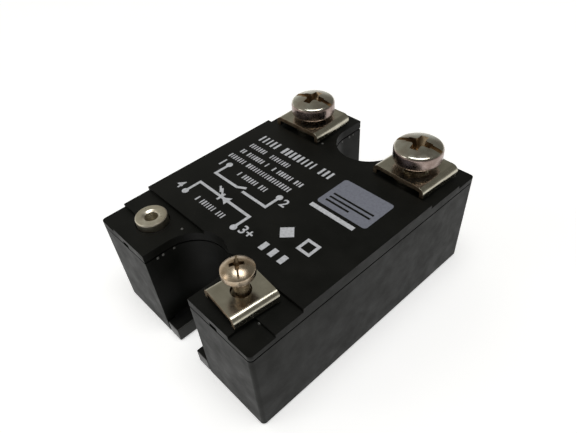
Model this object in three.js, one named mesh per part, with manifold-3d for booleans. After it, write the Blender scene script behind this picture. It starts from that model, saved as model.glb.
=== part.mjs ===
// A panel-mount solid state relay: black moulded case and cover on a metal base plate, two screw
// terminals for the load (1 and 2), two for the control input (3 and 4), and the electronics inside.
// Millimetres: +X across the relay, +Y along it towards the load terminals, +Z up, origin under its middle.
import * as THREE from "three";
import { mergeVertices } from "three/addons/utils/BufferGeometryUtils.js";
import Module from "manifold-3d";

const wasm = await Module();
wasm.setup();

// Housing
const WIDTH = 44.8;
const LENGTH = 58.2;
const WALL = 1.5;
const CORNER_RADIUS = 0.8;
const RECESS_RADIUS = 6.9; // the U-shaped recess for a mounting screw, one at each end
const MOUNT_PITCH = 47.6; // between the two mounting screws
const CASE_BOTTOM = 0.15; // the base plate stands this much proud of the case
const CASE_TOP = 20.15;
const PARTING_GAP = 0.3; // the shadow line between case and cover
const PLATEAU_TOP = 23;
const SEAT_TOP = 22.2; // the lower floor round the terminals
const POCKET_TOP = 21.5; // the lowest floor, at the four corners
const CONTROL_STEP_Y = -17.9;
const LOAD_STEP_Y = 14.9;
const POCKET_X = 17.4;
const POCKET_Y = 23.8;
const LIP_DEPTH = 1.9;
const LIP_WALL = 1.2;
const FIT = 0.3; // clearance between pieces that touch

// Base plate
const PLATE_THICKNESS = 3.4;
const SLOT_HALF_WIDTH = 3.2;
const HOLE_RADIUS = 2.6;
const TONGUE_HALF_WIDTH = RECESS_RADIUS - FIT;

// Terminals
const POWER_X = 14;
const POWER_Y = 21.2;
const CONTROL_X = 13.6;
const CONTROL_Y = -22.6;
const POST_TOP = 23.7;
const CLAMP_BOTTOM = 23.8;
const CLAMP_THICKNESS = 0.9;
const CLAMP_TOP = CLAMP_BOTTOM + CLAMP_THICKNESS;
const CLAMP_FLANGE_BOTTOM = 22.6;
const HEAD_GAP = 0.25;
const BACKED_OUT = 3.35; // how far the control screw of terminal 3 stands above its tightened place
const POWER = {
  postRadius: 4.25,
  collarRadius: 5.1,
  boreRadius: 2.6,
  postBottom: 13.6,
  boreBottom: 15.4,
  bossRadius: 5.2,
  clampWidth: 12.3,
  clampLength: 10.4,
  clampHole: 2.8,
  headRadius: 4.75,
  headFootRadius: 4.3,
  headRimHeight: 3.1,
  headHeight: 3.75,
  headSquareness: 0.35, // 0 gives a flat top with a sharp rim, 1 a round dome
  shankRadius: 2.25,
  shankLength: 8.6,
  crossLength: 4.9,
  crossWidth: 1.3,
  crossDepth: 2.3,
  slotWidth: 1.2,
  slotDepth: 1.3,
};
const CONTROL = {
  postRadius: 3.1,
  collarRadius: 3.9,
  boreRadius: 1.6,
  postBottom: 15.2,
  boreBottom: 16.1,
  bossRadius: 4.2,
  clampWidth: 8.8,
  clampLength: 8.7,
  clampHole: 1.8,
  headRadius: 2.78,
  headFootRadius: 2.6,
  headRimHeight: 1.45,
  headHeight: 2.4,
  headSquareness: 0.8,
  shankRadius: 1.25,
  shankLength: 8.2,
  crossLength: 3.1,
  crossWidth: 0.75,
  crossDepth: 1.4,
  slotWidth: 0.7,
  slotDepth: 1.05,
};

// Electronics
const CERAMIC_X = 17.4;
const CERAMIC_Y = [-9.6, 12.4];
const COPPER = 0.35;
const CERAMIC = 0.65;
const LAYER_GAP = 0.1;
const DIE = 7.6;
const DIE_THICKNESS = 0.4;
const LEAD_WIDTH = 5;
const LEAD_THICKNESS = 0.8;
const LEAD_FOOT_Y = 3.2;
const LEAD_BEND_Y = 8.4;
const BOARD_BOTTOM = 12;
const BOARD_THICKNESS = 1.6;
const BOARD_END_Y = 6.2;
const POTTING_TOP = 10.6;

const ROUND = 28; // facets round a screw head or a post
const SMALL_ROUND = 10; // facets round a pin or a small body
const RECESS_STEPS = 14;
const CORNER_STEPS = 3;
const BEND_STEPS = 3;

// ---- materials
function paint(color, roughness, metalness) {
  return new THREE.MeshStandardMaterial({ color, roughness, metalness });
}
const blackPlastic = paint(0x191a17, 0.5, 0);
const darkPlate = paint(0x4a4a46, 0.45, 0.9);
const nickel = paint(0xc9c4b4, 0.28, 1);
const brightNickel = paint(0xdedbd0, 0.18, 1);
const copper = paint(0xb8713f, 0.35, 1);
const ceramicWhite = paint(0xeeece4, 0.6, 0);
const silicon = paint(0x55595e, 0.3, 0.6);
const boardGreen = paint(0x1f5a36, 0.6, 0);
const epoxy = paint(0x22201d, 0.4, 0);
const resistorBody = paint(0xc9b48a, 0.6, 0);
const capacitorBody = paint(0xb4622a, 0.5, 0);
const diodeBody = paint(0x1b1b1b, 0.45, 0);

// ---- solids
function solid(geometry) {
  const bare = geometry.clone();
  bare.deleteAttribute("normal");
  bare.deleteAttribute("uv");
  const merged = mergeVertices(bare, 1e-4);
  return new wasm.Manifold(
    new wasm.Mesh({
      numProp: 3,
      vertProperties: new Float32Array(merged.attributes.position.array),
      triVerts: new Uint32Array(merged.index.array),
    }),
  );
}

function geometryOf(made) {
  const mesh = made.getMesh();
  const geometry = new THREE.BufferGeometry();
  geometry.setAttribute("position", new THREE.BufferAttribute(new Float32Array(mesh.vertProperties), 3));
  geometry.setIndex(new THREE.BufferAttribute(new Uint32Array(mesh.triVerts), 1));
  geometry.computeVertexNormals();
  return geometry;
}

const join = (first, ...rest) => rest.reduce((sum, next) => sum.add(next), first);
const cut = (first, ...rest) => rest.reduce((sum, next) => sum.subtract(next), first);

function box(x0, x1, y0, y1, z0, z1) {
  const geometry = new THREE.BoxGeometry(x1 - x0, y1 - y0, z1 - z0);
  return solid(geometry.translate((x0 + x1) / 2, (y0 + y1) / 2, (z0 + z1) / 2));
}

function prism(shape, z0, z1) {
  const geometry = new THREE.ExtrudeGeometry(shape, { depth: z1 - z0, bevelEnabled: false });
  return solid(geometry.translate(0, 0, z0));
}

// A turned piece: the profile is [radius, height] pairs from the axis at the bottom to the axis at the top.
function turned(profile, facets, x = 0, y = 0) {
  const points = profile.map(([r, z]) => new THREE.Vector2(r, z));
  const geometry = new THREE.LatheGeometry(points, facets);
  return solid(geometry.rotateX(Math.PI / 2).translate(x, y, 0));
}

const rod = (x, y, radius, z0, z1, facets = SMALL_ROUND) =>
  turned([[0, z0], [radius, z0], [radius, z1], [0, z1]], facets, x, y);

// A strip bent in the plane of Y and Z, given its closed outline there and its span in X.
function bentStrip(outline, x0, x1) {
  const shape = new THREE.Shape(outline.map(([y, z]) => new THREE.Vector2(y, z)));
  const geometry = new THREE.ExtrudeGeometry(shape, { depth: x1 - x0, bevelEnabled: false });
  geometry.rotateX(Math.PI / 2).rotateZ(Math.PI / 2);
  return solid(geometry.translate(x0, 0, 0));
}

// Points on an arc, from one angle to another in degrees, both ends included.
function arc(centreX, centreY, radius, from, to, steps) {
  return Array.from({ length: steps + 1 }, (_, i) => {
    const angle = THREE.MathUtils.degToRad(from + ((to - from) * i) / steps);
    return new THREE.Vector2(centreX + radius * Math.cos(angle), centreY + radius * Math.sin(angle));
  });
}

// The relay's outline from above, with its two mounting recesses, moved in by `inset` all round.
function outline(inset) {
  const halfWidth = WIDTH / 2 - inset;
  const halfLength = LENGTH / 2 - inset;
  const corner = Math.max(CORNER_RADIUS - inset, 0.2);
  const recess = RECESS_RADIUS + inset;
  const recessY = MOUNT_PITCH / 2;
  const cornerX = halfWidth - corner;
  const cornerY = halfLength - corner;
  return new THREE.Shape([
    ...arc(-cornerX, -cornerY, corner, 180, 270, CORNER_STEPS),
    new THREE.Vector2(-recess, -halfLength),
    ...arc(0, -recessY, recess, 180, 0, RECESS_STEPS),
    new THREE.Vector2(recess, -halfLength),
    ...arc(cornerX, -cornerY, corner, -90, 0, CORNER_STEPS),
    ...arc(cornerX, cornerY, corner, 0, 90, CORNER_STEPS),
    new THREE.Vector2(recess, halfLength),
    ...arc(0, recessY, recess, 0, -180, RECESS_STEPS),
    new THREE.Vector2(-recess, halfLength),
    ...arc(-cornerX, cornerY, corner, 90, 180, CORNER_STEPS),
  ]);
}

// The base plate, grown by `grow`: a rectangle inside the case walls and a tongue into each recess.
function plateSolid(grow, z0, z1) {
  const halfWidth = WIDTH / 2 - WALL - FIT + grow;
  const halfLength = LENGTH / 2 - WALL - FIT + grow;
  const tongue = TONGUE_HALF_WIDTH + grow;
  return join(
    box(-halfWidth, halfWidth, -halfLength, halfLength, z0, z1),
    box(-tongue, tongue, -LENGTH / 2 - grow, LENGTH / 2 + grow, z0, z1),
  );
}

const group = new THREE.Group();
function piece(name, made, material) {
  const mesh = new THREE.Mesh(geometryOf(made), material);
  mesh.name = name;
  group.add(mesh);
  return mesh;
}

// turn: the clamp's angle in degrees, slip: how far it sits off its post's axis,
// cross: the angle of the screw's recess, raised: how far the screw stands above its tightened place
const TERMINALS = [
  { number: 1, kind: POWER, x: -POWER_X, y: POWER_Y, turn: 1.5, slip: -0.25, cross: 10, raised: 0.5 },
  { number: 2, kind: POWER, x: POWER_X, y: POWER_Y, turn: -2.5, slip: -0.25, cross: 10, raised: 1.1 },
  {
    number: 3, kind: CONTROL, x: CONTROL_X, y: CONTROL_Y,
    turn: -6, slip: -0.25, cross: -34, raised: BACKED_OUT,
  },
  { number: 4, kind: CONTROL, x: -CONTROL_X, y: CONTROL_Y }, // its screw and clamp are missing
];

// ---- housing
function caseSolid() {
  const shell = cut(
    prism(outline(0), CASE_BOTTOM, CASE_TOP),
    prism(outline(WALL), CASE_BOTTOM - 1, CASE_TOP + 1),
  );
  return cut(shell, plateSolid(FIT, -1, PLATE_THICKNESS + FIT));
}

function coverSolid() {
  const bottom = CASE_TOP + PARTING_GAP;
  const halfWidth = WIDTH / 2 + 1;
  const halfLength = LENGTH / 2 + 1;
  const lipOuter = WALL + FIT;
  const lip = cut(
    prism(outline(lipOuter), CASE_TOP - LIP_DEPTH, bottom + 0.2),
    prism(outline(lipOuter + LIP_WALL), CASE_TOP - LIP_DEPTH - 1, bottom + 1),
  );
  const bosses = TERMINALS.map(({ kind, x, y }) =>
    rod(x, y, kind.bossRadius, kind.postBottom + 1.6, bottom + 0.2, ROUND));
  let cover = join(prism(outline(0), bottom, PLATEAU_TOP), lip, ...bosses);
  cover = cut(
    cover,
    box(-halfWidth, halfWidth, -halfLength, CONTROL_STEP_Y, SEAT_TOP, PLATEAU_TOP + 1),
    box(-halfWidth, halfWidth, LOAD_STEP_Y, halfLength, SEAT_TOP, PLATEAU_TOP + 1),
  );
  for (const side of [-1, 1]) {
    for (const end of [-1, 1]) {
      const [x0, x1] = [side * POCKET_X, side * halfWidth].sort((a, b) => a - b);
      const [y0, y1] = [end * POCKET_Y, end * halfLength].sort((a, b) => a - b);
      cover = cut(cover, box(x0, x1, y0, y1, POCKET_TOP, PLATEAU_TOP + 1));
      // a latch window in the end face, just above the parting line
      const [n0, n1] = [end * (LENGTH / 2 - 0.9), end * halfLength].sort((a, b) => a - b);
      cover = cut(cover, box(side * 13.4 - 0.95, side * 13.4 + 0.95, n0, n1, bottom - 1, bottom + 0.75));
    }
  }
  for (const { kind, x, y } of TERMINALS) {
    cover = cut(cover, rod(x, y, kind.postRadius + 0.2, kind.postBottom - 1, PLATEAU_TOP + 1, ROUND));
  }
  return cover;
}

piece("housing_case", caseSolid(), blackPlastic);
piece("terminal_cover", coverSolid(), blackPlastic);

const mountY = MOUNT_PITCH / 2;
piece(
  "base_plate",
  cut(
    plateSolid(0, 0, PLATE_THICKNESS),
    box(-SLOT_HALF_WIDTH, SLOT_HALF_WIDTH, -LENGTH / 2 - 1, -mountY, -1, PLATE_THICKNESS + 1),
    rod(0, -mountY, SLOT_HALF_WIDTH, -1, PLATE_THICKNESS + 1, ROUND),
    rod(0, mountY, HOLE_RADIUS, -1, PLATE_THICKNESS + 1, ROUND),
  ),
  darkPlate,
);

// ---- terminals
// A threaded post: a collar at the foot and a blind bore from the top.
function postSolid({ postRadius, collarRadius, boreRadius, postBottom, boreBottom }) {
  return turned(
    [
      [0, postBottom],
      [collarRadius, postBottom],
      [collarRadius, postBottom + 1.2],
      [postRadius, postBottom + 1.2],
      [postRadius, POST_TOP],
      [boreRadius + 0.25, POST_TOP],
      [boreRadius, POST_TOP - 0.25],
      [boreRadius, boreBottom],
      [0, boreBottom],
    ],
    ROUND,
  );
}

// A saddle clamp: a flat plate whose two sides are bent down, with a clearance hole for its screw.
function clampSolid(kind) {
  const halfWidth = kind.clampWidth / 2;
  const inner = 0.35;
  const outer = inner + CLAMP_THICKNESS;
  const bendX = halfWidth - outer;
  const bendZ = CLAMP_TOP - outer;
  const shape = new THREE.Shape();
  shape.moveTo(-halfWidth, CLAMP_FLANGE_BOTTOM);
  shape.lineTo(-halfWidth + CLAMP_THICKNESS, CLAMP_FLANGE_BOTTOM);
  shape.lineTo(-halfWidth + CLAMP_THICKNESS, bendZ);
  shape.absarc(-bendX, bendZ, inner, Math.PI, Math.PI / 2, true);
  shape.lineTo(bendX, CLAMP_BOTTOM);
  shape.absarc(bendX, bendZ, inner, Math.PI / 2, 0, true);
  shape.lineTo(halfWidth - CLAMP_THICKNESS, CLAMP_FLANGE_BOTTOM);
  shape.lineTo(halfWidth, CLAMP_FLANGE_BOTTOM);
  shape.lineTo(halfWidth, bendZ);
  shape.absarc(bendX, bendZ, outer, 0, Math.PI / 2, false);
  shape.lineTo(-bendX, CLAMP_TOP);
  shape.absarc(-bendX, bendZ, outer, Math.PI / 2, Math.PI, false);
  const settings = { depth: kind.clampLength, bevelEnabled: false, curveSegments: BEND_STEPS };
  const saddle = new THREE.ExtrudeGeometry(shape, settings);
  saddle.rotateX(Math.PI / 2).translate(0, kind.clampLength / 2, 0);
  return cut(solid(saddle), rod(0, 0, kind.clampHole, CLAMP_BOTTOM - 2, CLAMP_TOP + 1, ROUND));
}

// A screw with a cross recess and a slot through it; its head rests at z = 0.
function screwSolid(kind) {
  const { headRadius, headFootRadius, headRimHeight, headHeight, shankRadius, shankLength } = kind;
  const profile = [
    [0, -shankLength],
    [shankRadius - 0.35, -shankLength],
    [shankRadius, -shankLength + 0.5],
    [shankRadius, 0],
    [headFootRadius, 0],
    [headRadius, headRimHeight * 0.3],
    [headRadius, headRimHeight],
  ];
  const crownSteps = 4;
  for (let i = 1; i < crownSteps; i += 1) {
    const angle = (i / crownSteps) * (Math.PI / 2);
    profile.push([
      headRadius * Math.cos(angle) ** kind.headSquareness,
      headRimHeight + (headHeight - headRimHeight) * Math.sin(angle),
    ]);
  }
  profile.push([0, headHeight]);
  const above = headHeight + 1;
  const arm = kind.crossLength / 2;
  const half = kind.crossWidth / 2;
  const floor = headHeight - kind.crossDepth;
  const screw = cut(
    turned(profile, ROUND),
    box(-arm, arm, -half, half, floor, above),
    box(-half, half, -arm, arm, floor, above),
  );
  const reach = headRadius + 1;
  const slotHalf = kind.slotWidth / 2;
  return cut(screw, box(-reach, reach, -slotHalf, slotHalf, headHeight - kind.slotDepth, above));
}

for (const { number, kind, x, y, turn, slip, cross, raised } of TERMINALS) {
  const side = kind === POWER ? "power" : "control";
  piece(`${side}_post_${number}`, postSolid(kind), nickel).position.set(x, y, 0);
  if (turn === undefined) continue;
  const clamp = piece(`${side}_clamp_${number}`, clampSolid(kind), nickel);
  clamp.position.set(x, y + slip, 0);
  clamp.rotation.z = THREE.MathUtils.degToRad(turn);
  const screw = piece(`${side}_screw_${number}`, screwSolid(kind), brightNickel);
  screw.position.set(x, y, CLAMP_TOP + HEAD_GAP + raised);
  screw.rotation.z = THREE.MathUtils.degToRad(cross);
}

// ---- power stage: a copper-ceramic-copper substrate on the base plate, two thyristor chips back to back
const lowerCopperZ = PLATE_THICKNESS + LAYER_GAP;
const ceramicZ = lowerCopperZ + COPPER + LAYER_GAP;
const padZ = ceramicZ + CERAMIC + LAYER_GAP;
const dieZ = padZ + COPPER + LAYER_GAP;
const [ceramicNear, ceramicFar] = CERAMIC_Y;
const padEdge = CERAMIC_X - 0.6;
const gatePadEnd = ceramicNear + 3.2;

piece("substrate_lower_copper",
  box(-padEdge, padEdge, ceramicNear + 0.6, ceramicFar - 0.6, lowerCopperZ, lowerCopperZ + COPPER), copper);
piece("substrate_ceramic",
  box(-CERAMIC_X, CERAMIC_X, ceramicNear, ceramicFar, ceramicZ, ceramicZ + CERAMIC), ceramicWhite);

for (const [number, side] of [[1, -1], [2, 1]]) {
  const across = (near, far) => [side * near, side * far].sort((a, b) => a - b);
  // the load pad, with the chip on it
  piece(`load_pad_${number}`,
    box(...across(0.5, padEdge), gatePadEnd + 0.8, ceramicFar - 0.6, padZ, padZ + COPPER), copper);
  piece(`gate_pad_${number}`,
    box(...across(3, 8), ceramicNear + 0.6, gatePadEnd, padZ, padZ + COPPER), copper);
  const dieY = side < 0 ? -1.3 : 7.4;
  const dieX = side * 7;
  piece(`thyristor_chip_${number}`,
    box(dieX - DIE / 2, dieX + DIE / 2, dieY - DIE / 2, dieY + DIE / 2, dieZ, dieZ + DIE_THICKNESS), silicon);
  // the clip from the chip's top across to the other pad
  const clipZ = dieZ + DIE_THICKNESS + LAYER_GAP;
  const footZ = padZ + COPPER + LAYER_GAP;
  piece(`chip_clip_${number}`,
    join(
      box(...across(-1.8, 9.4), dieY - 1.6, dieY + 1.6, clipZ, clipZ + 0.5),
      box(...across(-2.6, -1.3), dieY - 1.6, dieY + 1.6, footZ, clipZ + 0.5),
    ), copper);
  // the busbar from the pad up to the underside of its threaded post
  const [leadX0, leadX1] = [side * POWER_X - LEAD_WIDTH / 2, side * POWER_X + LEAD_WIDTH / 2];
  const leadTop = POWER.postBottom - FIT;
  piece(`load_busbar_${number}`,
    bentStrip(
      [
        [LEAD_FOOT_Y, footZ],
        [LEAD_BEND_Y, footZ],
        [LEAD_BEND_Y, leadTop - LEAD_THICKNESS],
        [POWER_Y + 3, leadTop - LEAD_THICKNESS],
        [POWER_Y + 3, leadTop],
        [LEAD_BEND_Y - LEAD_THICKNESS, leadTop],
        [LEAD_BEND_Y - LEAD_THICKNESS, footZ + LEAD_THICKNESS],
        [LEAD_FOOT_Y, footZ + LEAD_THICKNESS],
      ],
      leadX0,
      leadX1,
    ), copper);
}

// ---- control board and what it carries
const boardTop = BOARD_BOTTOM + BOARD_THICKNESS;
const GATE_PIN = { radius: 0.45, x: 5.5, y: ceramicNear + 1.9 };
const PIN_RADIUS = 0.65;
const boardHoles = [-1, 1].flatMap((side) => [
  rod(side * CONTROL_X, CONTROL_Y, PIN_RADIUS + FIT, BOARD_BOTTOM - 1, boardTop + 1),
  rod(side * GATE_PIN.x, GATE_PIN.y, GATE_PIN.radius + FIT, BOARD_BOTTOM - 1, boardTop + 1),
]);
piece("control_board",
  cut(
    prism(outline(WALL + 0.7), BOARD_BOTTOM, boardTop),
    box(-WIDTH, WIDTH, BOARD_END_Y, LENGTH, BOARD_BOTTOM - 1, boardTop + 1),
    ...boardHoles,
  ), boardGreen);

for (const [number, side] of [[3, 1], [4, -1]]) {
  piece(`control_pin_${number}`,
    rod(side * CONTROL_X, CONTROL_Y, PIN_RADIUS, BOARD_BOTTOM - 0.8, CONTROL.postBottom - FIT), nickel);
}
for (const [number, side] of [[1, -1], [2, 1]]) {
  piece(`gate_pin_${number}`,
    rod(side * GATE_PIN.x, GATE_PIN.y, GATE_PIN.radius, padZ + COPPER + LAYER_GAP, boardTop + 0.8), nickel);
}

// A dual in-line package: a body on two rows of legs that stand on the board.
function opticalCoupler(x, y) {
  const legZ = boardTop + LAYER_GAP;
  const body = box(x - 4.3, x + 4.3, y - 3.2, y + 3.2, legZ + 0.6, legZ + 4);
  const legs = [-2.54, 0, 2.54].flatMap((step) => [-1, 1].map((row) => {
    const [y0, y1] = [row * 3, row * 3.9].sort((a, b) => a - b);
    return box(x + step - 0.3, x + step + 0.3, y + y0, y + y1, legZ, legZ + 2);
  }));
  return join(body, ...legs);
}

// An axial part lying along X on the board: a waisted body and two bent legs.
function axialPart(x, y, length, radius, ends) {
  const z = boardTop + LAYER_GAP + radius + 0.3;
  const half = length / 2;
  const reach = half + 1.6;
  const profile = [
    [0, -half], [ends, -half], [ends, -half * 0.55], [radius, -half * 0.45],
    [radius, half * 0.45], [ends, half * 0.55], [ends, half], [0, half],
  ];
  const points = profile.map(([r, along]) => new THREE.Vector2(r, along));
  const body = new THREE.LatheGeometry(points, SMALL_ROUND).rotateZ(-Math.PI / 2).translate(x, y, z);
  const wire = box(x - reach, x + reach, y - 0.3, y + 0.3, z - 0.3, z + 0.3);
  const legs = [-1, 1].map((end) => {
    const [x0, x1] = [x + end * reach, x + end * (reach - 0.6)].sort((a, b) => a - b);
    return box(x0, x1, y - 0.3, y + 0.3, boardTop + LAYER_GAP, z + 0.3);
  });
  return join(solid(body), wire, ...legs);
}

const LEG_PITCH = 1.27;
const leg = (x, y, z) => box(x - 0.25, x + 0.25, y - 0.25, y + 0.25, z, z + 2);

// A small transistor: a flat-faced body on three legs.
function transistor(x, y) {
  const legZ = boardTop + LAYER_GAP;
  const body = cut(rod(x, y, 2.3, legZ + 1.2, legZ + 5), box(x - 3, x + 3, y - 3, y - 1.2, legZ, legZ + 6));
  const legs = [-LEG_PITCH, 0, LEG_PITCH].map((step) => leg(x + step, y, legZ));
  return join(body, ...legs);
}

// A disc capacitor standing on two legs.
function discCapacitor(x, y) {
  const legZ = boardTop + LAYER_GAP;
  const disc = turned([[0, -0.9], [1.9, -0.9], [2.4, -0.4], [2.4, 0.4], [1.9, 0.9], [0, 0.9]], SMALL_ROUND);
  const legs = [-LEG_PITCH, LEG_PITCH].map((step) => leg(x + step, y, legZ));
  return join(disc.rotate([90, 0, 0]).translate([x, y, legZ + 3.1]), ...legs);
}

piece("optical_coupler", opticalCoupler(0, -4), epoxy);
piece("input_transistor", transistor(-12, -13), epoxy);
piece("input_diode", axialPart(12, -12.5, 4.4, 1.1, 1.1), diodeBody);
piece("input_resistor", axialPart(-12, -7.6, 5.6, 1.1, 1.35), resistorBody);
piece("gate_resistor_1", axialPart(-12, 2.4, 5.6, 1.1, 1.35), resistorBody);
piece("gate_resistor_2", axialPart(12, 2.4, 5.6, 1.1, 1.35), resistorBody);
piece("filter_capacitor", discCapacitor(12, -6.6), capacitorBody);

// ---- potting: it fills the case up to below the board, round everything that stands in it
function pottingSolid() {
  const bottom = PLATE_THICKNESS + FIT;
  const floor = bottom - 1;
  const reachX = CERAMIC_X + FIT;
  const stageTop = dieZ + DIE_THICKNESS + 1.2;
  let block = prism(outline(WALL + FIT), bottom, POTTING_TOP);
  block = cut(block, box(-reachX, reachX, ceramicNear - FIT, ceramicFar + FIT, floor, stageTop));
  const leadY = [LEAD_BEND_Y - LEAD_THICKNESS - FIT, LEAD_BEND_Y + FIT];
  for (const side of [-1, 1]) {
    const halfLead = LEAD_WIDTH / 2 + FIT;
    const x = side * POWER_X;
    block = cut(
      block,
      box(x - halfLead, x + halfLead, ...leadY, floor, POTTING_TOP + 1),
      rod(side * GATE_PIN.x, GATE_PIN.y, GATE_PIN.radius + FIT, floor, POTTING_TOP + 1),
    );
  }
  return block;
}
piece("potting", pottingSolid(), epoxy);

export default group;
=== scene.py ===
"""A panel-mount solid state relay: black moulded housing, metal base plate, plated screws and clamps.

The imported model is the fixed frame. Pieces are made in millimetres in its own axes, +Y towards the load
terminals and +Z up, and scaled to metres as the last step.
"""
import math
from itertools import product

import bmesh
import bpy
from mathutils import Matrix, Vector


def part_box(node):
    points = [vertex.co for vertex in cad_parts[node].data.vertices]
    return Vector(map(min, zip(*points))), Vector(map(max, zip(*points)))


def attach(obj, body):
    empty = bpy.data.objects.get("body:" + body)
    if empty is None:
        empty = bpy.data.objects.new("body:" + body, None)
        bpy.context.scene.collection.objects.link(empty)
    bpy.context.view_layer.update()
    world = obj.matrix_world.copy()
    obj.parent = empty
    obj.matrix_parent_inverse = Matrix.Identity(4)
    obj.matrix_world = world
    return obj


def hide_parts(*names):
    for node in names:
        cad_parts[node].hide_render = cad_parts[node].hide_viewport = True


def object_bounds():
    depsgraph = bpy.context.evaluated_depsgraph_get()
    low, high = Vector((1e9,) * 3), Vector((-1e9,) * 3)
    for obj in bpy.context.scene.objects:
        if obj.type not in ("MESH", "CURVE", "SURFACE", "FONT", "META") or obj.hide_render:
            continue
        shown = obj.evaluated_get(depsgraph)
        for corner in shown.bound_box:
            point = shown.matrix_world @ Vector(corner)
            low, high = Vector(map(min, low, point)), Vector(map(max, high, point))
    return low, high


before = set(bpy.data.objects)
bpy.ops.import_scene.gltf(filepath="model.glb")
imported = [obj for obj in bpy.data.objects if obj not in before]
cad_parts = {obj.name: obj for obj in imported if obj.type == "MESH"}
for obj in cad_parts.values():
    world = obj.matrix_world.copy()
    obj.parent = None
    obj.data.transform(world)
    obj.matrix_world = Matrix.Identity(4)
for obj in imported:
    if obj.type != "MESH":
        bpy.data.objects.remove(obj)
cad_low, cad_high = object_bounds()

MM = 0.001
TAU = 2 * math.pi

# ---- sizes in millimetres; places come from the frame
WALL = 1.5
CORNER = 0.8
RECESS = 6.9  # radius of the recess for a mounting screw
MOUNT_Y = 23.8  # from the relay's middle to a mounting screw
MOUNT_SLOT = 3.2  # radius of the plate's open slot
MOUNT_HOLE = 2.6  # and of its round hole
SEAT_STEP = 0.8  # the terminal seats lie this much below the plateau
POCKET_STEP = 1.5  # and the corner pockets this much
CONTROL_STEP_Y = -17.9  # where the plateau steps down to the control seat
LOAD_STEP_Y = 14.9  # and to the load seat
POCKET_X = 17.4
POCKET_Y = 23.8
LATCH_X = 13.4  # middle of a latch window
LATCH_HALF = 0.95
LATCH_DEEP = 0.9
LATCH_HIGH = 0.75
LIP_DROP = 4.75  # from the plateau to the foot of the lip inside the cover
LIP_WALL = 1.2
BOSS_FOOT = 1.6  # the cover's bosses end this much above the foot of their posts
FIT = 0.3  # play between case, cover and plate
POST_FIT = 0.2  # play round a post
EDGE = 0.22  # how far a moulded edge is rounded
CLAMP_SHEET = 0.9  # thickness of a clamp
CLAMP_BEND = 0.35  # inner radius of its bends
COLLAR_HIGH = 1.2
CHAMFER = 0.15
THREAD_ROWS = 8  # rings of points for each turn of a thread

# post, collar, bore: radii of a threaded post; blind: what the bore leaves at its foot; boss: radius of the
# cover's boss round it; pitch, thread: pitch and depth of the thread
# clamp: a clamp's width and length; hole: radius of its hole
# head, crown: a screw head's radius and height; dome: radius of its domed top; under, edge: how far the lower
# and upper edges of its side are rounded; rim: how far up its side is painted darker, as painted shade and
# painted reflection of the dark housing; cross: the recess's length, width and depth; slot: the slot's width
# and depth; neck: the smooth length under the head
POWER = {
    "post": 4.25, "collar": 5.1, "bore": 2.6, "blind": 1.8, "boss": 5.2, "pitch": 0.8, "thread": 0.18,
    "clamp": (12.3, 10.4), "hole": 2.8,
    "head": 4.75, "crown": 3.75, "dome": 12.5, "under": 0.7, "edge": 0.8, "rim": 2.75,
    "shank": 2.25, "neck": 1.2, "cross": (5.2, 1.6, 2.4), "slot": (1.0, 1.0),
}
CONTROL = {
    "post": 3.1, "collar": 3.9, "bore": 1.6, "blind": 0.9, "boss": 4.2, "pitch": 0.5, "thread": 0.13,
    "clamp": (8.8, 8.7), "hole": 1.8,
    "head": 2.78, "crown": 2.4, "dome": 4.0, "under": 0.35, "edge": 0.24, "rim": 0.7,
    "shank": 1.38, "neck": 4.1, "cross": (2.7, 0.7, 1.3), "slot": (0.34, 0.8),
}
# clamp: the clamp's angle in degrees, cross: the angle of the slot in the screw's head, play: how far the
# loosened screw stands off its bore's axis
TERMINALS = [
    {"number": 1, "side": "power", "kind": POWER, "clamp": 1.5, "cross": 10},
    {"number": 2, "side": "power", "kind": POWER, "clamp": -2.5, "cross": 10},
    {"number": 3, "side": "control", "kind": CONTROL, "clamp": -6, "cross": -34, "play": (0.02, -0.12)},
    {"number": 4, "side": "control", "kind": CONTROL, "clamp": None, "cross": None},
]

# ---- the camera stands over the control end's right corner
AIM = Vector((0.9, -4.0, 10.0)) * MM
AZIMUTH = math.radians(51.6)
ELEVATION = math.radians(45.6)
ROLL = math.radians(-6.15)
DISTANCE = 104.4 * MM


def add_camera():
    """The camera, aimed from its azimuth and elevation and rolled a little."""
    data = bpy.data.cameras.new("camera")
    data.sensor_width = 36
    data.lens = 31.43
    data.shift_x = 0.0127
    data.shift_y = 0.0613
    data.clip_start = 1 * MM
    camera = bpy.data.objects.new("camera", data)
    bpy.context.scene.collection.objects.link(camera)
    level = Vector((math.sin(AZIMUTH), -math.cos(AZIMUTH), 0)) * math.cos(ELEVATION)
    away = level + Vector((0, 0, math.sin(ELEVATION)))
    right = Vector((0, 0, 1)).cross(away).normalized()
    axes = Matrix((right, away.cross(right), away)).transposed().to_4x4()
    place = Matrix.Translation(AIM + away * DISTANCE)
    camera.matrix_world = place @ axes @ Matrix.Rotation(ROLL, 4, "Z")
    bpy.context.scene.camera = camera


add_camera()


# ---- materials: each is a small node tree on object coordinates
def fill_ramp(ramp, stops):
    """Sets a colour ramp's stops, each (position, colour)."""
    bands = ramp.color_ramp.elements
    while len(bands) < len(stops):
        bands.new(0.5)
    for band, (at, color) in zip(bands, stops):
        band.position = at
        band.color = (*color, 1)


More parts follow.
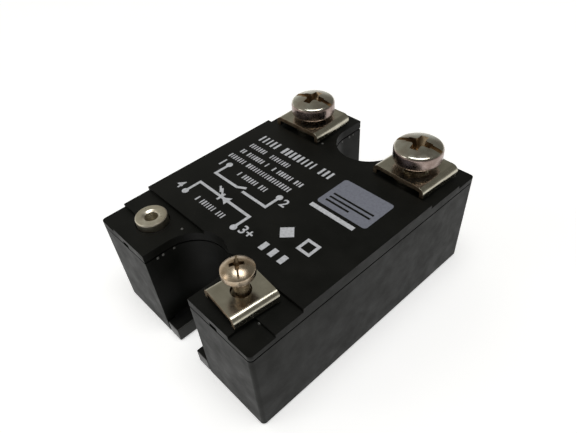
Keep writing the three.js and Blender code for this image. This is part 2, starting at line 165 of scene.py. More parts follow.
class Finish:
    """A material whose pattern is laid on object coordinates, with sizes given in millimetres."""

    def __init__(self, name, **sockets):
        self.material = bpy.data.materials.new(name)
        self.material.use_nodes = True
        self.tree = self.material.node_tree
        self.shader = self.tree.nodes["Principled BSDF"]
        self.place = self.tree.nodes.new("ShaderNodeTexCoord").outputs["Object"]
        for socket, value in sockets.items():
            self.shader.inputs[socket.replace("_", " ").title().replace("Ior", "IOR")].default_value = value

    def node(self, kind, inputs=None, **settings):
        made = self.tree.nodes.new(kind)
        for key, value in settings.items():
            setattr(made, key, value)
        for key, value in (inputs or {}).items():
            self.feed(made.inputs[key], value)
        return made

    def feed(self, socket, value):
        if isinstance(value, bpy.types.NodeSocket):
            self.tree.links.new(value, socket)
        else:
            socket.default_value = value

    def noise(self, size, stretch=(1, 1, 1), detail=3):
        """Noise whose blotches are about `size` millimetres, drawn out along an axis by `stretch`."""
        scale = tuple(1 / s for s in stretch)
        mapping = self.node("ShaderNodeMapping", {"Vector": self.place, "Scale": scale})
        given = {"Vector": mapping.outputs[0], "Scale": 1 / (size * MM), "Detail": detail, "Roughness": 0.55}
        return self.node("ShaderNodeTexNoise", given).outputs["Fac"]

    def wave(self, scale, distortion, direction):
        """Even bands across one direction, for woven and stepped surfaces."""
        given = {"Vector": self.place, "Scale": scale, "Distortion": distortion}
        return self.node("ShaderNodeTexWave", given, bands_direction=direction).outputs["Fac"]

    def spread(self, value, low, high, start=0.3, end=0.7):
        """The value from start to end, spread out from low to high."""
        given = {"Value": value, "From Min": start, "From Max": end, "To Min": low, "To Max": high}
        return self.node("ShaderNodeMapRange", given).outputs[0]

    def ramp(self, value, *stops, interpolation="LINEAR"):
        ramp = self.node("ShaderNodeValToRGB", {"Fac": value})
        ramp.color_ramp.interpolation = interpolation
        fill_ramp(ramp, stops)
        return ramp.outputs[0]

    def mix(self, factor, first, second):
        given = {"Factor": factor, "A": first, "B": second}
        made = self.node("ShaderNodeMix", data_type="RGBA")
        for key, value in given.items():
            socket = [s for s in made.inputs if s.name == key and s.enabled][0]
            self.feed(socket, (*value, 1) if isinstance(value, tuple) and len(value) == 3 else value)
        return [s for s in made.outputs if s.enabled][0]

    def bump(self, height, depth, strength, under=None):
        """Relief `depth` millimetres deep, on top of another bump where one is given."""
        given = {"Height": height, "Distance": depth * MM, "Strength": strength}
        if under:
            given["Normal"] = under
        return self.node("ShaderNodeBump", given).outputs[0]

    def color(self, socket):
        self.tree.links.new(socket, self.shader.inputs["Base Color"])

    def rough(self, socket):
        self.tree.links.new(socket, self.shader.inputs["Roughness"])

    def relief(self, socket):
        self.tree.links.new(socket, self.shader.inputs["Normal"])


def moulded_black():
    """Glass-filled black moulding: spark-eroded grain, handled patches and a little dust."""
    f = Finish("moulded_black", specular_ior_level=0.11)
    patches = f.noise(7, detail=4)
    dust = f.noise(0.35, detail=2)
    tone = f.ramp(patches, (0.35, (0.0036, 0.0039, 0.0030)), (0.68, (0.0068, 0.0069, 0.0056)))
    specks = f.spread(dust, 0, 0.5, 0.68, 0.78)
    f.color(f.mix(specks, tone, (0.030, 0.029, 0.024)))
    f.rough(f.spread(f.noise(3.5, detail=5), 0.39, 0.56))
    soft = f.bump(f.noise(1.6), 0.02, 0.35)
    f.relief(f.bump(f.noise(0.16, detail=2), 0.006, 0.5, soft))
    return f.material


def plated(name, dark, light, roughness, brushed=(1, 1, 1), scratch=0.004):
    """A nickel plating: warm in patches, faintly drawn one way, with fine scratches."""
    f = Finish(name, metallic=1.0)
    blotch = f.noise(2.6, detail=4)
    grain = f.noise(0.12, brushed, detail=2)
    f.color(f.mix(f.spread(grain, 0, 0.25), f.ramp(blotch, (0.3, dark), (0.7, light)), dark))
    f.rough(f.spread(f.noise(1.1, detail=4), *roughness))
    f.relief(f.bump(grain, scratch, 0.5))
    return f.material


def rolled_base():
    """A near-black metal plate: dull, rolled along the relay, with a few lighter rubs."""
    f = Finish("rolled_base", metallic=1.0)
    grain = f.noise(0.2, (1, 30, 1), detail=3)
    stain = f.noise(9, detail=5)
    rubbed = f.ramp(stain, (0.3, (0.016, 0.016, 0.015)), (0.7, (0.040, 0.040, 0.038)))
    f.color(f.mix(f.spread(grain, 0, 0.4), rubbed, (0.012, 0.012, 0.011)))
    f.rough(f.spread(stain, 0.30, 0.46))
    f.relief(f.bump(grain, 0.008, 0.6))
    return f.material


def printed_ink(name, thin, full):
    """Pad-printed ink, thin enough in places to show the grain under it."""
    f = Finish(name, specular_ior_level=0.3)
    f.color(f.ramp(f.noise(0.5, detail=4), (0.25, thin), (0.6, full)))
    f.rough(f.spread(f.noise(0.8), 0.45, 0.7))
    f.relief(f.bump(f.noise(0.14, detail=2), 0.004, 0.5))
    return f.material


def drawn_copper():
    """Copper strip with a thin oxide film, drawn along the relay."""
    f = Finish("drawn_copper", metallic=1.0)
    film = f.noise(3, detail=5)
    f.color(f.ramp(film, (0.25, (0.42, 0.16, 0.08)), (0.6, (0.72, 0.34, 0.20)), (0.8, (0.62, 0.38, 0.27))))
    f.rough(f.spread(film, 0.22, 0.45))
    f.relief(f.bump(f.noise(0.25, (1, 14, 1)), 0.008, 0.5))
    return f.material


def sintered_alumina():
    """White ceramic with a fine grain."""
    f = Finish("sintered_alumina")
    f.color(f.ramp(f.noise(0.5, detail=5), (0.3, (0.70, 0.68, 0.62)), (0.7, (0.86, 0.85, 0.80))))
    f.rough(f.spread(f.noise(0.3), 0.45, 0.65))
    f.relief(f.bump(f.noise(0.1), 0.006, 0.5))
    return f.material


def silicon_die():
    """A chip's top: a metallised face with its guard ring's fine steps."""
    f = Finish("silicon_die", metallic=0.7)
    ring = f.wave(900.0, 0.4, "DIAGONAL")
    f.color(f.ramp(ring, (0.3, (0.16, 0.17, 0.21)), (0.7, (0.30, 0.31, 0.34))))
    f.rough(f.spread(f.noise(0.6), 0.15, 0.3))
    return f.material


def circuit_board():
    """Green solder mask over a glass weave."""
    f = Finish("circuit_board", specular_ior_level=0.5)
    warp, weft = (f.wave(420.0, 0.6, direction) for direction in "XY")
    weave = f.node("ShaderNodeMath", {0: warp, 1: weft}, operation="MULTIPLY").outputs[0]
    tone = f.ramp(f.noise(5), (0.3, (0.010, 0.075, 0.028)), (0.7, (0.018, 0.12, 0.045)))
    f.color(f.mix(f.spread(weave, 0, 0.3, 0, 1), tone, (0.03, 0.17, 0.07)))
    f.rough(f.spread(f.noise(2), 0.28, 0.42))
    f.relief(f.bump(weave, 0.01, 0.4))
    return f.material


def moulded_package(name, dark, light, roughness, grain=0.2):
    """The body of a small electronic part: moulded or dipped, faintly mottled."""
    f = Finish(name)
    f.color(f.ramp(f.noise(1.2, detail=4), (0.3, dark), (0.7, light)))
    f.rough(f.spread(f.noise(0.9), *roughness))
    f.relief(f.bump(f.noise(grain, detail=2), 0.01, 0.5))
    return f.material


def banded_resistor(name, middle):
    """Lacquered body with colour bands round it; the bands are counted from the body's middle along X."""
    f = Finish(name, coat_weight=0.4)
    along = f.node("ShaderNodeSeparateXYZ", {"Vector": f.place}).outputs["X"]
    share = f.spread(along, 0, 1, (middle - 2.8) * MM, (middle + 2.8) * MM)
    lacquer = (0.56, 0.42, 0.22)
    brown, red, orange, gold = (0.30, 0.10, 0.03), (0.55, 0.03, 0.02), (0.60, 0.18, 0.02), (0.50, 0.36, 0.10)
    stops = [(0.0, lacquer)]
    for at, color in ((0.16, brown), (0.36, red), (0.56, orange), (0.80, gold)):
        stops += [(at, color), (at + 0.08, lacquer)]
    bands = f.ramp(share, *stops, interpolation="CONSTANT")
    f.color(f.mix(f.spread(f.noise(0.8), 0, 0.25), bands, (0.35, 0.26, 0.14)))
    f.rough(f.spread(f.noise(0.7), 0.25, 0.4))
    f.relief(f.bump(f.noise(0.5), 0.01, 0.4))
    return f.material


def potting_compound():
    """Dark, glossy casting compound whose surface rises and dips a little."""
    f = Finish("potting_compound")
    f.color(f.ramp(f.noise(6, detail=4), (0.3, (0.016, 0.016, 0.017)), (0.7, (0.035, 0.035, 0.036))))
    f.rough(f.spread(f.noise(4), 0.12, 0.3))
    f.relief(f.bump(f.noise(5), 0.15, 0.5))
    return f.material


black = moulded_black()
# lighter grey plastic for the moulded pips: a painted highlight for the glints on them
pip_glint_grey = moulded_package("pip_glint_grey_plastic", (0.03, 0.03, 0.027), (0.16, 0.16, 0.15), (0.3, 0.5))
# plated(name, dark patches, light patches, roughness, brushed, scratch)
clamp_nickel = plated(
    "clamp_nickel", (0.43, 0.40, 0.32), (0.60, 0.57, 0.47), (0.15, 0.26), (1, 16, 1), 0.0015)
sheared_nickel = plated(
    "sheared_nickel", (0.26, 0.18, 0.11), (0.52, 0.42, 0.30), (0.34, 0.5), (1, 1, 9), 0.006)
screw_nickel = plated("screw_nickel", (0.42, 0.36, 0.29), (0.64, 0.65, 0.57), (0.12, 0.24), scratch=0.002)
worn_nickel = plated("worn_nickel", (0.30, 0.20, 0.11), (0.66, 0.57, 0.45), (0.2, 0.36), scratch=0.008)
# darker brown nickel for the screw heads' sides: painted shade and painted reflection of the dark housing
shaded_side_nickel = plated("shaded_side_nickel", (0.17, 0.12, 0.10), (0.44, 0.35, 0.32), (0.2, 0.36), (1, 1, 0.3), 0.006)
# darker brown nickel on the faces cut by a screw's cross and slot: painted shade and grime in the recess
recess_shade_nickel = plated("recess_shade_nickel", (0.16, 0.11, 0.065), (0.52, 0.40, 0.26), (0.22, 0.4), scratch=0.006)
post_nickel = plated("post_nickel", (0.52, 0.46, 0.35), (0.76, 0.72, 0.60), (0.26, 0.42))
tinned = plated("tinned_pin", (0.48, 0.47, 0.44), (0.70, 0.69, 0.66), (0.25, 0.4))
base_metal = rolled_base()
ink = printed_ink("printed_ink", (0.40, 0.41, 0.43), (0.58, 0.59, 0.62))
panel_ink = printed_ink("panel_ink", (0.15, 0.155, 0.19), (0.19, 0.20, 0.24))


# ---- mesh tools, in millimetres
def mesh_object(name, shape, *materials):
    mesh = bpy.data.meshes.new(name)
    shape.to_mesh(mesh)
    shape.free()
    for material in materials:
        mesh.materials.append(material)
    made = bpy.data.objects.new(name, mesh)
    bpy.context.scene.collection.objects.link(made)
    return made


def settle(piece):
    """Puts the mesh that the modifiers give in place of the one that they work on."""
    bpy.context.view_layer.update()
    graph = bpy.context.evaluated_depsgraph_get()
    made = bpy.data.meshes.new_from_object(piece.evaluated_get(graph), depsgraph=graph)
    used = piece.data
    piece.modifiers.clear()
    piece.data = made
    bpy.data.meshes.remove(used)
    return piece


def combine(target, tools, operation="DIFFERENCE"):
    """Cuts the tools out of the target, or joins them to it; cut faces keep the tool's material."""
    for tool in tools:
        step = target.modifiers.new("combine", "BOOLEAN")
        step.operation = operation
        step.solver = "EXACT"
        step.material_mode = "TRANSFER"
        step.object = tool
    settle(target)
    for tool in tools:
        bpy.data.objects.remove(tool)
    return target


def round_edges(piece, width, segments=3, angle=32):
    """Rounds every edge that is sharper than the angle."""
    step = piece.modifiers.new("round", "BEVEL")
    step.width = width
    step.segments = segments
    step.limit_method = "ANGLE"
    step.angle_limit = math.radians(angle)
    step.use_clamp_overlap = True
    step.miter_outer = "MITER_ARC"
    return settle(piece)


def finish_piece(piece, body, slot, *replaced, crease=38):
    """Scales a finished piece to metres, smooths its round faces and hands it to the frame."""
    mesh = piece.data
    mesh.transform(Matrix.Scale(MM, 4))
    for face in mesh.polygons:
        face.use_smooth = True
    mesh.set_sharp_from_angle(angle=math.radians(crease))
    step = piece.modifiers.new("flat_faces", "WEIGHTED_NORMAL")
    step.keep_sharp = True
    settle(piece)
    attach(piece, body)
    if replaced:
        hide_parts(*replaced)


def arc(x, y, radius, start, end, steps):
    """Points round a centre, from one angle to another in degrees."""
    angles = [math.radians(start + (end - start) * i / steps) for i in range(steps + 1)]
    return [(x + radius * math.cos(a), y + radius * math.sin(a)) for a in angles]


def prism(name, points, z0, z1, *materials):
    """An outline that runs counter-clockwise, drawn up from z0 to z1."""
    shape = bmesh.new()
    low = [shape.verts.new((x, y, z0)) for x, y in points]
    high = [shape.verts.new((x, y, z1)) for x, y in points]
    shape.faces.new(low[::-1])
    shape.faces.new(high)
    for i in range(len(points)):
        j = (i + 1) % len(points)
        shape.faces.new((low[i], low[j], high[j], high[i]))
    return mesh_object(name, shape, *materials)


def block(x0, x1, y0, y1, z0, z1, *materials):
    return prism("block", [(x0, y0), (x1, y0), (x1, y1), (x0, y1)], z0, z1, *materials)


def rod(x, y, radius, z0, z1, facets, *materials):
    return prism("rod", arc(x, y, radius, 0, 360 * (1 - 1 / facets), facets - 1), z0, z1, *materials)


def turned(name, rings, facets, *materials):
    """A closed turned piece: rings from the bottom of the axis to its top, each (radius, height).

    A radius may be a function of the angle and the height, for a thread.
    """
    shape = bmesh.new()
    loops = []
    for radius, height in rings:
        if radius == 0:
            loops.append([shape.verts.new((0, 0, height))])
            continue
        loop = []
        for i in range(facets):
            angle = TAU * i / facets
            r = radius(angle, height) if callable(radius) else radius
            loop.append(shape.verts.new((r * math.cos(angle), r * math.sin(angle), height)))
        loops.append(loop)
    for below, above in zip(loops, loops[1:]):
        for i in range(facets):
            j = (i + 1) % facets
            if len(below) == 1:
                shape.faces.new((below[0], above[j], above[i]))
            elif len(above) == 1:
                shape.faces.new((below[i], below[j], above[0]))
            else:
                shape.faces.new((below[i], below[j], above[j], above[i]))
    return mesh_object(name, shape, *materials)


def thread(radius, depth, pitch, z0, z1):
    """Rings of a right-hand thread from z0 to z1, which dies out at both ends."""
    low, high = sorted((z0, z1))

    def wall(angle, z):
        turn = (z / pitch - angle / TAU) % 1
        fade = min(1, (z - low) / pitch, (high - z) / pitch)
        return radius + depth * max(0, fade) * (1 - abs(2 * turn - 1))

    rows = max(2, round((high - low) / pitch * THREAD_ROWS))
    return [(wall, z0 + (z1 - z0) * i / rows) for i in range(rows + 1)]


def geometry_tree(name, **inputs):
    """A new Geometry Nodes tree with named inputs, and functions that add a node and a link to it."""
    tree = bpy.data.node_groups.new(name, "GeometryNodeTree")
    for label, kind in inputs.items():
        tree.interface.new_socket(name=label, in_out="INPUT", socket_type=f"NodeSocket{kind}")
    tree.interface.new_socket(name="Geometry", in_out="OUTPUT", socket_type="NodeSocketGeometry")

    def node(kind, **settings):
        made = tree.nodes.new(kind)
        for key, value in settings.items():
            setattr(made, key, value)
        return made

    return tree, node, tree.links.new


def end_tree(node, link, placed, material):
    """Makes a tree's instances real, gives them their material and hands them out."""
    real = node("GeometryNodeRealizeInstances")
    link(placed.outputs[0], real.inputs[0])
    painted = node("GeometryNodeSetMaterial")
    link(real.outputs[0], painted.inputs["Geometry"])
    link(material, painted.inputs["Material"])
    link(painted.outputs[0], node("NodeGroupOutput").inputs[0])


def grow(piece, tree, **values):
    """Runs a Geometry Nodes tree on a piece, with its inputs set by name."""
    step = piece.modifiers.new("grow", "NODES")
    step.node_group = tree
    for item in tree.interface.items_tree:
        if item.in_out == "INPUT" and item.name in values:
            step[item.identifier] = values[item.name]
    return settle(piece)


def frame_box(node):
    """A CAD node's lowest and highest corners in millimetres."""
    low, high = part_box(node)
    return low / MM, high / MM


def terminal_node(terminal, part):
    """The CAD node of a terminal's post, clamp or screw."""
    return f"{terminal['side']}_{part}_{terminal['number']}"


def post_box(terminal):
    """The lowest and highest corners of a terminal's post, and its middle."""
    low, high = frame_box(terminal_node(terminal, "post"))
    return low, high, (low + high) / 2


# ---- housing
case_low, case_high = frame_box("housing_case")
cover_low, cover_high = frame_box("terminal_cover")
plate_low, plate_high = frame_box("base_plate")
HALF_X = case_high.x
HALF_Y = case_high.y
PLATEAU = cover_high.z
PARTING = case_high.z + 0.3


def outline(inset):
    """The relay's outline from above, with its two recesses, moved in by `inset`."""
    x, y = HALF_X - inset, HALF_Y - inset
    corner, corner_steps = max(CORNER - inset, 0.2), 8
    recess, recess_steps = RECESS + inset, 56
    cx, cy = x - corner, y - corner
    return [
        *arc(-cx, -cy, corner, 180, 270, corner_steps),
        (-recess, -y), *arc(0, -MOUNT_Y, recess, 180, 0, recess_steps), (recess, -y),
        *arc(cx, -cy, corner, -90, 0, corner_steps),
        *arc(cx, cy, corner, 0, 90, corner_steps),
        (recess, y), *arc(0, MOUNT_Y, recess, 0, -180, recess_steps), (-recess, y),
        *arc(-cx, cy, corner, 90, 180, corner_steps),
    ]


def span(side, near, far):
    """From near to far on one side of the middle, in rising order."""
    return sorted((side * near, side * far))


def case_piece():
    """The case: an open wall, cut away at both ends for the plate's tongues."""
    low, high = case_low.z, case_high.z
    shell = prism("case_shell", outline(0), low, high, black)
    inside = prism("inside", outline(WALL), low - 1, high + 1, black)
    tongues = block(-RECESS, RECESS, -HALF_Y - 1, HALF_Y + 1, low - 2, plate_high.z + FIT, black)
    combine(shell, [inside, tongues])
    finish_piece(round_edges(shell, EDGE), "root", "black_plastic", "housing_case")


def cover_piece():
    """The cover: a plateau, lower seats and pockets at its ends, latch windows and holes for the posts."""
    far_x, far_y = HALF_X + 1, HALF_Y + 1
    seat, pocket = PLATEAU - SEAT_STEP, PLATEAU - POCKET_STEP
    top = PLATEAU + 1
    shell = prism("cover_shell", outline(0), PARTING, PLATEAU, black)
    cuts = [
        block(-far_x, far_x, -far_y, CONTROL_STEP_Y, seat, top, black),
        block(-far_x, far_x, LOAD_STEP_Y, far_y, seat, top, black),
    ]
    for x, y in product((-1, 1), repeat=2):
        cuts.append(block(*span(x, POCKET_X, far_x), *span(y, POCKET_Y, far_y), pocket, top + 0.5, black))
        window = (x * LATCH_X - LATCH_HALF, x * LATCH_X + LATCH_HALF)
        depth = span(y, HALF_Y - LATCH_DEEP, far_y)
        cuts.append(block(*window, *depth, PARTING - 1, PARTING + LATCH_HIGH, black))
    for terminal in TERMINALS:
        _, _, middle = post_box(terminal)
        hole = terminal["kind"]["post"] + POST_FIT
        cuts.append(rod(middle.x, middle.y, hole, PARTING - 1, top, 72, black))
    combine(shell, cuts)
    finish_piece(round_edges(shell, EDGE), "root", "black_plastic", "terminal_cover")


def cover_inside_piece():
    """The lip that drops inside the case and the four bosses round the posts, moulded with the cover."""
    lip_outer = WALL + FIT
    root = PARTING + 0.1  # just inside the cover's own underside
    lip = prism("cover_inside", outline(lip_outer), PLATEAU - LIP_DROP, root, black)
    combine(lip, [prism("inside", outline(lip_outer + LIP_WALL), cover_low.z - 9, PARTING + 1, black)])
    bosses, holes = [], []
    for terminal in TERMINALS:
        kind = terminal["kind"]
        low, _, middle = post_box(terminal)
        bosses.append(rod(middle.x, middle.y, kind["boss"], low.z + BOSS_FOOT, root, 64, black))
        holes.append(rod(middle.x, middle.y, kind["post"] + POST_FIT, low.z, PARTING + 1, 64, black))
    combine(lip, bosses, "UNION")
    combine(lip, holes)
    finish_piece(lip, "root", "black_plastic")


def base_piece():
    """The heat-sink plate: broken edges, an open slot at the control end and a round hole at the other."""
    half_x, half_y = plate_high.x, HALF_Y - WALL - FIT
    tongue = RECESS - FIT
    low, high = plate_low.z, plate_high.z
    points = [
        (-half_x, -half_y), (-tongue, -half_y), (-tongue, plate_low.y), (-MOUNT_SLOT, plate_low.y),
        *arc(0, -MOUNT_Y, MOUNT_SLOT, 180, 0, 32), (MOUNT_SLOT, plate_low.y), (tongue, plate_low.y),
        (tongue, -half_y), (half_x, -half_y), (half_x, half_y), (tongue, half_y), (tongue, plate_high.y),
        (-tongue, plate_high.y), (-tongue, half_y), (-half_x, half_y),
    ]
    plate = prism("heat_sink_plate", points, low, high, base_metal)
    combine(plate, [rod(0, MOUNT_Y, MOUNT_HOLE, low - 1, high + 1, 64, base_metal)])
    finish_piece(round_edges(plate, EDGE, 2), "root", "base_metal", "base_plate")


def pips_tree():
    """Geometry Nodes: a small dome on every point of a mesh."""
    tree, node, link = geometry_tree("moulded_pips", Points="Geometry", Radius="Float", Plastic="Material")
    given = node("NodeGroupInput").outputs
    dome = node("GeometryNodeMeshIcoSphere")
    dome.inputs["Subdivisions"].default_value = 3
    placed = node("GeometryNodeInstanceOnPoints")
    link(given["Radius"], dome.inputs["Radius"])
    link(given["Points"], placed.inputs["Points"])
    link(dome.outputs["Mesh"], placed.inputs["Instance"])
    end_tree(node, link, placed, given["Plastic"])
    return tree


def pips_piece():
    """Moulded pips: the latch pips on the recess walls, and the gate and ejector pips on the seats."""
    sunk = 0.1  # a pip's middle lies this much under its surface
    shape = bmesh.new()
    for y_side, x_side, y in product((-1, 1), (-1, 1), (22.9, 25.3, 26.5)):
        shape.verts.new((x_side * (RECESS + sunk), y_side * y, PARTING - 0.6))
    for x, y in ((-7.6, -20.0), (-7.15, 16.97)):
        shape.verts.new((x, y, PLATEAU - SEAT_STEP - sunk))
    shape.verts.new((18.6, -POCKET_Y, PLATEAU - POCKET_STEP))
    # the pips take the lighter grey plastic, a painted highlight
    pips = grow(mesh_object("moulded_pips", shape), pips_tree(), Radius=0.3, Plastic=pip_glint_grey)
    finish_piece(pips, "root", "black_plastic")


case_piece()
cover_piece()
cover_inside_piece()
base_piece()
pips_piece()


# ---- terminals
def post_piece(terminal):
    """A post: a collar at its foot, a rounded top and a threaded blind bore with a countersunk mouth."""
    kind = terminal["kind"]
    low, high, middle = post_box(terminal)
    post, collar, top = kind["post"], kind["collar"], high.z
    collar_top, floor = low.z + COLLAR_HIGH, low.z + kind["blind"]
    clear = kind["bore"] - (0.06 if terminal["clamp"] is not None else 0.32)
    rings = [
        (0, low.z), (collar - CHAMFER, low.z), (collar, low.z + CHAMFER), (collar, collar_top - CHAMFER),
        (collar - CHAMFER, collar_top), (post, collar_top),
        (post, top - 0.28), (post - 0.06, top - 0.12), (post - 0.18, top - 0.02), (post - 0.3, top),
        (clear + 0.5, top), (clear + 0.38, top - 0.04), (clear, top - 0.34),
        *thread(clear, kind["thread"], kind["pitch"], top - 0.36, floor + 0.4),
        (clear, floor + 0.2), (0, floor),
    ]
    piece = turned(f"threaded_post_{terminal['number']}", rings, 72, post_nickel)
    piece.data.transform(Matrix.Translation((middle.x, middle.y, 0)))
    finish_piece(piece, "root", "post_nickel", terminal_node(terminal, "post"), crease=30)


def clamp_piece(terminal):
    """A flat plate with two sides bent down; the sheared ends are rougher than the faces."""
    width, length = terminal["kind"]["clamp"]
    node = terminal_node(terminal, "clamp")
    low, high = frame_box(node)
    middle = (low + high) / 2
    half, inner, outer = width / 2, CLAMP_BEND, CLAMP_BEND + CLAMP_SHEET
    bend_x, bend_z = half - outer, high.z - outer
    points = [(-half, low.z), (-half + CLAMP_SHEET, low.z)]
    points += arc(-bend_x, bend_z, inner, 180, 90, 8)
    points += arc(bend_x, bend_z, inner, 90, 0, 8)
    points += [(half - CLAMP_SHEET, low.z), (half, low.z)]
    points += arc(bend_x, bend_z, outer, 0, 90, 12)
    points += arc(-bend_x, bend_z, outer, 90, 180, 12)
    name = f"saddle_clamp_{terminal['number']}"
    clamp = prism(name, points, -length / 2, length / 2, clamp_nickel, sheared_nickel)
    for face in clamp.data.polygons:
        if abs(face.normal.z) > 0.9 and len(face.vertices) > 4:  # the two sheared ends
            face.material_index = 1
    clamp.data.transform(Matrix.Rotation(math.pi / 2, 4, "X"))
    round_edges(clamp, 0.06, 2, 40)
    combine(clamp, [rod(0, 0, terminal["kind"]["hole"], low.z, high.z + 1, 72, sheared_nickel)])
    turn = Matrix.Rotation(math.radians(terminal["clamp"]), 4, "Z")
    clamp.data.transform(Matrix.Translation((middle.x, middle.y, 0)) @ turn)
    finish_piece(clamp, node, "clamp_nickel", node)


def cross_tool(length, width, depth, top):
    """A cross with tapering wings round a tapering heart, which cuts a recess `depth` deep."""
    shape = bmesh.new()
    loops = []
    above, foot = top + 0.4, top - depth
    for share, z in ((1.12, above), (0.42, foot)):
        arm, half = length / 2 * share, width / 2 * (0.75 + 0.25 * share)
        corner = [(arm, -half), (arm, half), (half, half)]
        loop = []
        for quarter in range(4):
            c, s = round(math.cos(quarter * math.pi / 2)), round(math.sin(quarter * math.pi / 2))
            loop += [shape.verts.new((x * c - y * s, x * s + y * c, z)) for x, y in corner]
        loops.append(loop)
    high, low = loops
    shape.faces.new(high)
    shape.faces.new(low[::-1])
    for i in range(len(low)):
        j = (i + 1) % len(low)
        shape.faces.new((low[i], low[j], high[j], high[i]))
    cross = mesh_object("cross", shape, recess_shade_nickel)
    rings = [(0, foot), (width * 0.45, foot), (width * 0.95, above), (0, above)]
    return combine(cross, [turned("heart", rings, 24, recess_shade_nickel)], "UNION")


def head_rings(kind, seat):
    """A screw head above its seat: a rounded foot, a straight side, a rounded rim and a shallow dome."""
    head, crown, dome = kind["head"], kind["crown"], kind["dome"]
    under, edge = kind["under"], kind["edge"]
    rim = (head - edge) / (1 - edge / dome)  # where the dome runs into the rounded rim
    slope = math.asin(rim / dome)
    shoulder = seat + crown - dome * (1 - math.cos(slope)) - edge * math.cos(slope)
    foot_steps, edge_steps, dome_steps = 6, 8, 12
    rings = []
    for i in range(foot_steps + 1):
        angle = i / foot_steps * math.pi / 2
        rings.append((head - under + under * math.sin(angle), seat + under * (1 - math.cos(angle))))
    for i in range(edge_steps + 1):
        angle = i / edge_steps * (math.pi / 2 - slope)
        rings.append((head - edge + edge * math.cos(angle), shoulder + edge * math.sin(angle)))
    for i in range(1, dome_steps):
        angle = slope * (1 - i / dome_steps)
        rings.append((dome * math.sin(angle), seat + crown - dome * (1 - math.cos(angle))))
    return [*rings, (0, seat + crown)]


def screw_piece(terminal):
    """A screw: a threaded shank with a chamfered tip, a smooth neck, and a head with a cross and a slot."""
    kind = terminal["kind"]
    node = terminal_node(terminal, "screw")
    low, high = frame_box(node)
    _, _, middle = post_box(terminal)
    crown, shank = kind["crown"], kind["shank"]
    seat, tip = high.z - crown, low.z  # the underside of the head, and the screw's lower end
    neck = seat - kind["neck"]
    crest = thread(shank - kind["thread"], kind["thread"], kind["pitch"], tip + 0.5, neck)
    rings = [(0, tip), (shank - 0.5, tip), (shank - 0.16, tip + 0.48), *crest]
    rings += [(shank, neck + 0.05), (shank, seat - 0.12), (shank + 0.12, seat), *head_rings(kind, seat)]
    screw = turned(f"terminal_screw_{terminal['number']}", rings, 128, kind["finish"], shaded_side_nickel)
    for face in screw.data.polygons:  # the head's side is painted darker than its top: painted shade and painted reflection of the dark housing
        if seat - 0.5 < face.center.z < seat + kind["rim"] and face.center.xy.length > shank + 0.1:
            face.material_index = 1
    screw.data.transform(Matrix.Translation((0, 0, -seat)))
    slot_width, slot_depth = kind["slot"]
    half, reach = slot_width / 2, kind["head"] + 1
    slot = block(-reach, reach, -half, half, crown - slot_depth, crown + 0.9, recess_shade_nickel)
    # the cut faces take the darker recess nickel: painted shade and grime in the recess
    combine(screw, [cross_tool(*kind["cross"], crown), slot])
    turn = Matrix.Rotation(math.radians(terminal["cross"]), 4, "Z")
    play_x, play_y = terminal.get("play", (0, 0))
    screw.data.transform(Matrix.Translation((middle.x + play_x, middle.y + play_y, seat)) @ turn)
    finish_piece(screw, node, "screw_nickel", node, crease=30)


POWER["finish"], CONTROL["finish"] = screw_nickel, worn_nickel
for terminal in TERMINALS:
    post_piece(terminal)
    if terminal["clamp"] is not None:
        clamp_piece(terminal)
        screw_piece(terminal)


# ---- printed marks on the plateau
INK_LOW = PLATEAU - 0.01
INK_HIGH = PLATEAU + 0.02
INK_MIDDLE = (INK_LOW + INK_HIGH) / 2
STROKE = 0.62  # width of the diagram's lines
KEPT_BLOCKS = 0.86  # the share of a row's blocks that are printed
OPEN = {"low": INK_LOW - 0.1, "high": INK_HIGH + 0.1}  # the reach of a gap cut through the ink


def blocks_tree():
    """Geometry Nodes: a row of blocks of uneven length, some left out, as a stand-in for a line of print."""
    tree, node, link = geometry_tree(
        "row_of_blocks", Count="Int", Pitch="Float", Height="Float", Least="Float", Most="Float",
        Thickness="Float", Seed="Int", Ink="Material")
    given = node("NodeGroupInput").outputs
    step = node("ShaderNodeCombineXYZ")
    link(given["Pitch"], step.inputs["X"])
    line = node("GeometryNodeMeshLine", mode="OFFSET")
    link(given["Count"], line.inputs["Count"])
    link(step.outputs[0], line.inputs["Offset"])
    length = node("FunctionNodeRandomValue", data_type="FLOAT")
    link(given["Least"], length.inputs[2])
    link(given["Most"], length.inputs[3])
    link(given["Seed"], length.inputs["Seed"])
    scaled = node("ShaderNodeMath", operation="MULTIPLY")
    link(length.outputs[1], scaled.inputs[0])
    link(given["Pitch"], scaled.inputs[1])
    size = node("ShaderNodeCombineXYZ")
    link(scaled.outputs[0], size.inputs["X"])
    link(given["Height"], size.inputs["Y"])
    link(given["Thickness"], size.inputs["Z"])
    kept = node("FunctionNodeRandomValue", data_type="BOOLEAN")
    kept.inputs["Probability"].default_value = KEPT_BLOCKS
    link(given["Seed"], kept.inputs["Seed"])
    cube = node("GeometryNodeMeshCube")
    placed = node("GeometryNodeInstanceOnPoints")
    link(line.outputs["Mesh"], placed.inputs["Points"])
    link(kept.outputs[3], placed.inputs["Selection"])
    link(cube.outputs["Mesh"], placed.inputs["Instance"])
    link(size.outputs[0], placed.inputs["Scale"])
    end_tree(node, link, placed, given["Ink"])
    return tree


def row_of_blocks(tree, number, x0, x1, y, height, pitch):
    """One line of print between x0 and x1, centred on y; a block takes 0.3 to 0.62 of its pitch."""
    row = mesh_object(f"print_row_{number}", bmesh.new())
    count = max(2, round((x1 - x0) / pitch))
    grow(row, tree, Count=count, Pitch=pitch, Height=height, Least=0.3, Most=0.62,
         Thickness=INK_HIGH - INK_LOW, Seed=number, Ink=ink)
    row.data.transform(Matrix.Translation((x0 + pitch / 2, y, INK_MIDDLE)))
    return row


